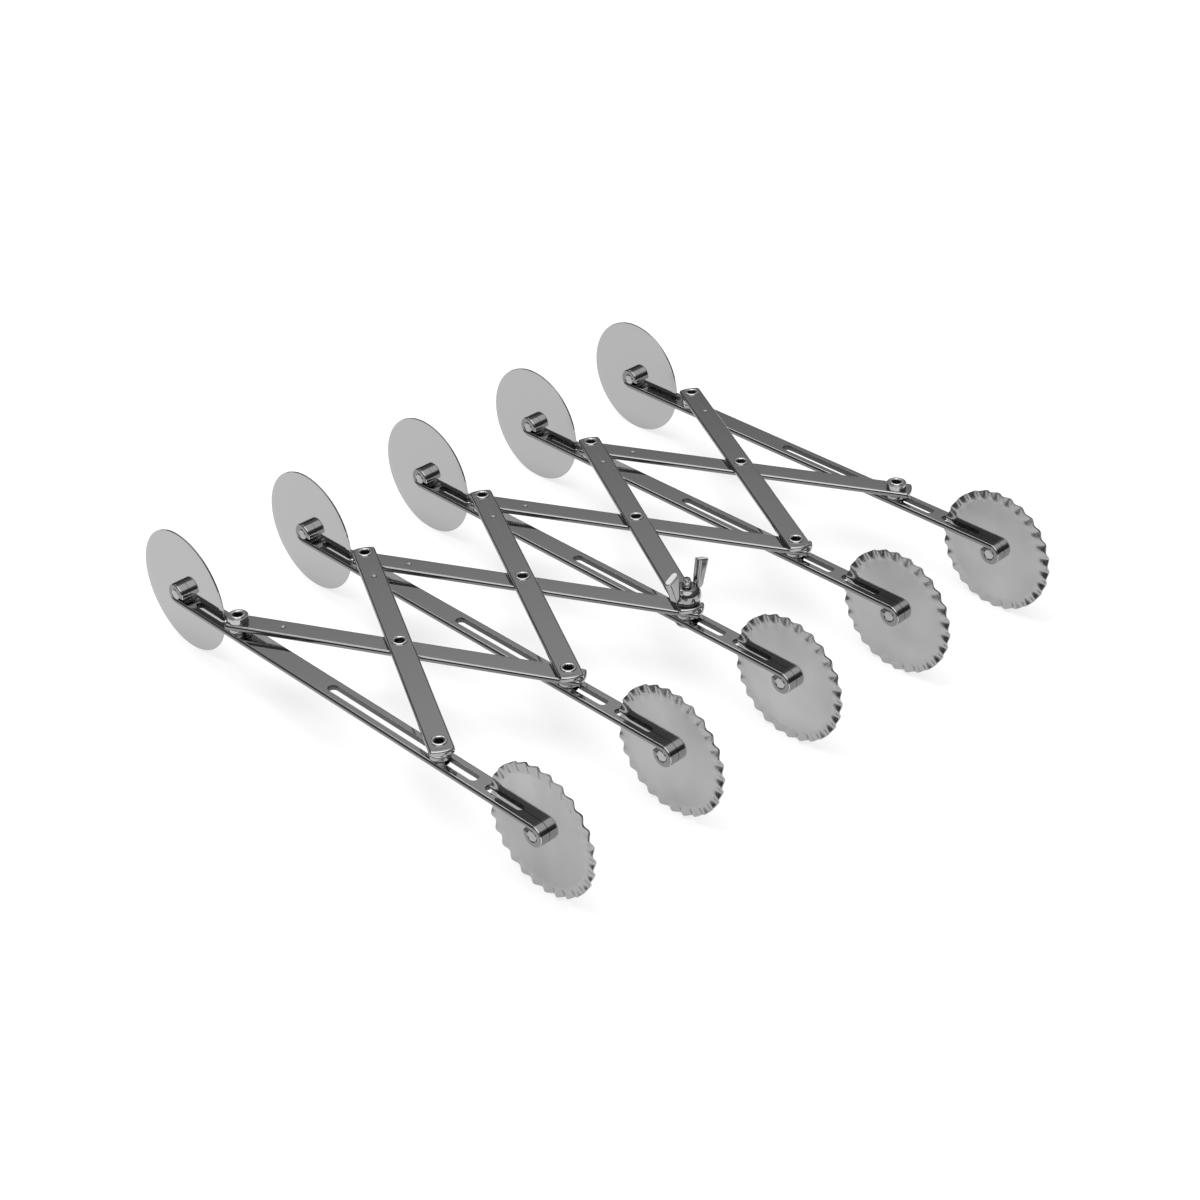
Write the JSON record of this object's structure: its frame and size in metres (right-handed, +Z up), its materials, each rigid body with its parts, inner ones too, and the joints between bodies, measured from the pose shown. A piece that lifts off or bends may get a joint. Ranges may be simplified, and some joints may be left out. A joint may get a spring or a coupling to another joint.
{
  "type": "expandable dough cutter",
  "caption": "Expandable dough cutter: slotted steel arms on a riveted scissor linkage with a wing-nut clamp, each arm with a plain cutting wheel at one end and a fluted wheel at the other.",
  "frame": {"origin": "centre of the bounding box on the surface that the wheels stand on", "axes": "+X across the arms, +Y along the arms towards the plain wheels, +Z up"},
  "size_m": [0.2824, 0.2734, 0.055],
  "materials": {
    "strip_steel": "polished strip with rounded edges",
    "wheel_steel": "satin polished sheet",
    "rivet_steel": "bright turned and rolled",
    "clamp_steel": "bright pressed"
  },
  "bodies": {
    "arm_3": {"arm_3": "strip_steel", "axle_pins_3": "rivet_steel", "pivot_rivet_3": "rivet_steel", "pivot_spacer_3": "rivet_steel"},
    "arm_1": {"arm_1": "strip_steel", "axle_pins_1": "rivet_steel", "pivot_rivet_1": "rivet_steel", "pivot_spacer_1": "rivet_steel", "first_pivot_bush": "rivet_steel"},
    "arm_2": {"arm_2": "strip_steel", "axle_pins_2": "rivet_steel", "pivot_rivet_2": "rivet_steel", "pivot_spacer_2": "rivet_steel"},
    "arm_4": {"arm_4": "strip_steel", "axle_pins_4": "rivet_steel", "pivot_rivet_4": "rivet_steel", "pivot_spacer_4": "rivet_steel"},
    "arm_5": {"arm_5": "strip_steel", "axle_pins_5": "rivet_steel", "pivot_rivet_5": "rivet_steel", "pivot_spacer_5": "rivet_steel", "last_pivot_bush": "rivet_steel"},
    "lower_link_1": {"lower_link_1": "strip_steel"},
    "upper_link_1": {"upper_link_1": "strip_steel", "centre_rivet_1": "rivet_steel", "slide_spacer_1": "rivet_steel", "slide_rivet_1": "rivet_steel", "first_slide_bush": "rivet_steel"},
    "lower_link_2": {"lower_link_2": "strip_steel"},
    "upper_link_2": {"upper_link_2": "strip_steel", "centre_rivet_2": "rivet_steel", "slide_spacer_2": "rivet_steel", "slide_rivet_2": "rivet_steel"},
    "lower_link_3": {"lower_link_3": "strip_steel"},
    "upper_link_3": {"upper_link_3": "strip_steel", "centre_rivet_3": "rivet_steel", "slide_spacer_3": "rivet_steel", "clamp_bolt": "clamp_steel", "clamp_washer": "clamp_steel"},
    "lower_link_4": {"lower_link_4": "strip_steel", "slide_rivet_5": "rivet_steel", "slide_spacer_5": "rivet_steel", "last_slide_bush": "rivet_steel"},
    "upper_link_4": {"upper_link_4": "strip_steel", "centre_rivet_4": "rivet_steel", "slide_spacer_4": "rivet_steel", "slide_rivet_4": "rivet_steel"},
    "plain_wheel_1": {"plain_wheel_1": "wheel_steel"},
    "fluted_wheel_1": {"fluted_wheel_1": "wheel_steel"},
    "plain_wheel_2": {"plain_wheel_2": "wheel_steel"},
    "fluted_wheel_2": {"fluted_wheel_2": "wheel_steel"},
    "plain_wheel_3": {"plain_wheel_3": "wheel_steel"},
    "fluted_wheel_3": {"fluted_wheel_3": "wheel_steel"},
    "plain_wheel_4": {"plain_wheel_4": "wheel_steel"},
    "fluted_wheel_4": {"fluted_wheel_4": "wheel_steel"},
    "plain_wheel_5": {"plain_wheel_5": "wheel_steel"},
    "fluted_wheel_5": {"fluted_wheel_5": "wheel_steel"},
    "wing_nut": {"wing_nut": "clamp_steel"}
  },
  "joints": [
    {"name": "spread", "type": "hinge", "parent": "arm_3", "child": "lower_link_3", "pos_m": [0, 0.07178, 0.0282], "axis": [0, 0.0334, 0.9994], "range_deg": [-23, 35.2]},
    {"name": "upper_link_3_cross", "type": "hinge", "parent": "lower_link_3", "child": "upper_link_3", "pos_m": [0.0335, 0.0093, 0.03284], "axis": [0, 0.0334, 0.9994], "range_deg": [-70.4, 46]},
    {"name": "arm_4_pivot", "type": "hinge", "parent": "upper_link_3", "child": "arm_4", "pos_m": [0.067, 0.07178, 0.0282], "axis": [0, 0.0334, 0.9994], "range_deg": [-23, 35.2]},
    {"name": "lower_link_4_pivot", "type": "hinge", "parent": "arm_4", "child": "lower_link_4", "pos_m": [0.067, 0.07178, 0.0282], "axis": [0, 0.0334, 0.9994], "range_deg": [-23, 35.2]},
    {"name": "upper_link_4_cross", "type": "hinge", "parent": "lower_link_4", "child": "upper_link_4", "pos_m": [0.1005, 0.0093, 0.03284], "axis": [0, 0.0334, 0.9994], "range_deg": [-70.4, 46]},
    {"name": "arm_5_pivot", "type": "hinge", "parent": "upper_link_4", "child": "arm_5", "pos_m": [0.134, 0.07178, 0.0282], "axis": [0, 0.0334, 0.9994], "range_deg": [-23, 35.2]},
    {"name": "upper_link_2_pivot", "type": "hinge", "parent": "arm_3", "child": "upper_link_2", "pos_m": [0, 0.07178, 0.0282], "axis": [0, 0.0334, 0.9994], "range_deg": [-35.2, 23]},
    {"name": "lower_link_2_cross", "type": "hinge", "parent": "upper_link_2", "child": "lower_link_2", "pos_m": [-0.0335, 0.0093, 0.03284], "axis": [0, 0.0334, 0.9994], "range_deg": [-46, 70.4]},
    {"name": "arm_2_pivot", "type": "hinge", "parent": "lower_link_2", "child": "arm_2", "pos_m": [-0.067, 0.07178, 0.0282], "axis": [0, 0.0334, 0.9994], "range_deg": [-35.2, 23]},
    {"name": "upper_link_1_pivot", "type": "hinge", "parent": "arm_2", "child": "upper_link_1", "pos_m": [-0.067, 0.07178, 0.0282], "axis": [0, 0.0334, 0.9994], "range_deg": [-35.2, 23]},
    {"name": "lower_link_1_cross", "type": "hinge", "parent": "upper_link_1", "child": "lower_link_1", "pos_m": [-0.1005, 0.0093, 0.03284], "axis": [0, 0.0334, 0.9994], "range_deg": [-46, 70.4]},
    {"name": "arm_1_pivot", "type": "hinge", "parent": "lower_link_1", "child": "arm_1", "pos_m": [-0.134, 0.07178, 0.0282], "axis": [0, 0.0334, 0.9994], "range_deg": [-35.2, 23]},
    {"name": "plain_wheel_1_spin", "type": "hinge", "parent": "arm_1", "child": "plain_wheel_1", "pos_m": [-0.134, 0.10918, 0.0275], "axis": [1, 0, 0], "continuous": true},
    {"name": "fluted_wheel_1_spin", "type": "hinge", "parent": "arm_1", "child": "fluted_wheel_1", "pos_m": [-0.134, -0.10918, 0.0275], "axis": [1, 0, 0], "continuous": true},
    {"name": "plain_wheel_2_spin", "type": "hinge", "parent": "arm_2", "child": "plain_wheel_2", "pos_m": [-0.067, 0.10918, 0.0275], "axis": [1, 0, 0], "continuous": true},
    {"name": "fluted_wheel_2_spin", "type": "hinge", "parent": "arm_2", "child": "fluted_wheel_2", "pos_m": [-0.067, -0.10918, 0.0275], "axis": [1, 0, 0], "continuous": true},
    {"name": "plain_wheel_3_spin", "type": "hinge", "parent": "arm_3", "child": "plain_wheel_3", "pos_m": [0, 0.10918, 0.0275], "axis": [1, 0, 0], "continuous": true},
    {"name": "fluted_wheel_3_spin", "type": "hinge", "parent": "arm_3", "child": "fluted_wheel_3", "pos_m": [0, -0.10918, 0.0275], "axis": [1, 0, 0], "continuous": true},
    {"name": "plain_wheel_4_spin", "type": "hinge", "parent": "arm_4", "child": "plain_wheel_4", "pos_m": [0.067, 0.10918, 0.0275], "axis": [1, 0, 0], "continuous": true},
    {"name": "fluted_wheel_4_spin", "type": "hinge", "parent": "arm_4", "child": "fluted_wheel_4", "pos_m": [0.067, -0.10918, 0.0275], "axis": [1, 0, 0], "continuous": true},
    {"name": "plain_wheel_5_spin", "type": "hinge", "parent": "arm_5", "child": "plain_wheel_5", "pos_m": [0.134, 0.10918, 0.0275], "axis": [1, 0, 0], "continuous": true},
    {"name": "fluted_wheel_5_spin", "type": "hinge", "parent": "arm_5", "child": "fluted_wheel_5", "pos_m": [0.134, -0.10918, 0.0275], "axis": [1, 0, 0], "continuous": true},
    {"name": "wing_nut_turn", "type": "hinge", "parent": "upper_link_3", "child": "wing_nut", "pos_m": [0, -0.05335, 0.03239], "axis": [0, 0.0334, 0.9994], "continuous": true}
  ],
  "couplings": [
    {"joint": "upper_link_3_cross", "follows": "spread", "ratio": -2},
    {"joint": "arm_4_pivot", "follows": "spread", "ratio": 1},
    {"joint": "lower_link_4_pivot", "follows": "spread", "ratio": 1},
    {"joint": "upper_link_4_cross", "follows": "spread", "ratio": -2},
    {"joint": "arm_5_pivot", "follows": "spread", "ratio": 1},
    {"joint": "upper_link_2_pivot", "follows": "spread", "ratio": -1},
    {"joint": "lower_link_2_cross", "follows": "spread", "ratio": 2},
    {"joint": "arm_2_pivot", "follows": "spread", "ratio": -1},
    {"joint": "upper_link_1_pivot", "follows": "spread", "ratio": -1},
    {"joint": "lower_link_1_cross", "follows": "spread", "ratio": 2},
    {"joint": "arm_1_pivot", "follows": "spread", "ratio": -1}
  ]
}
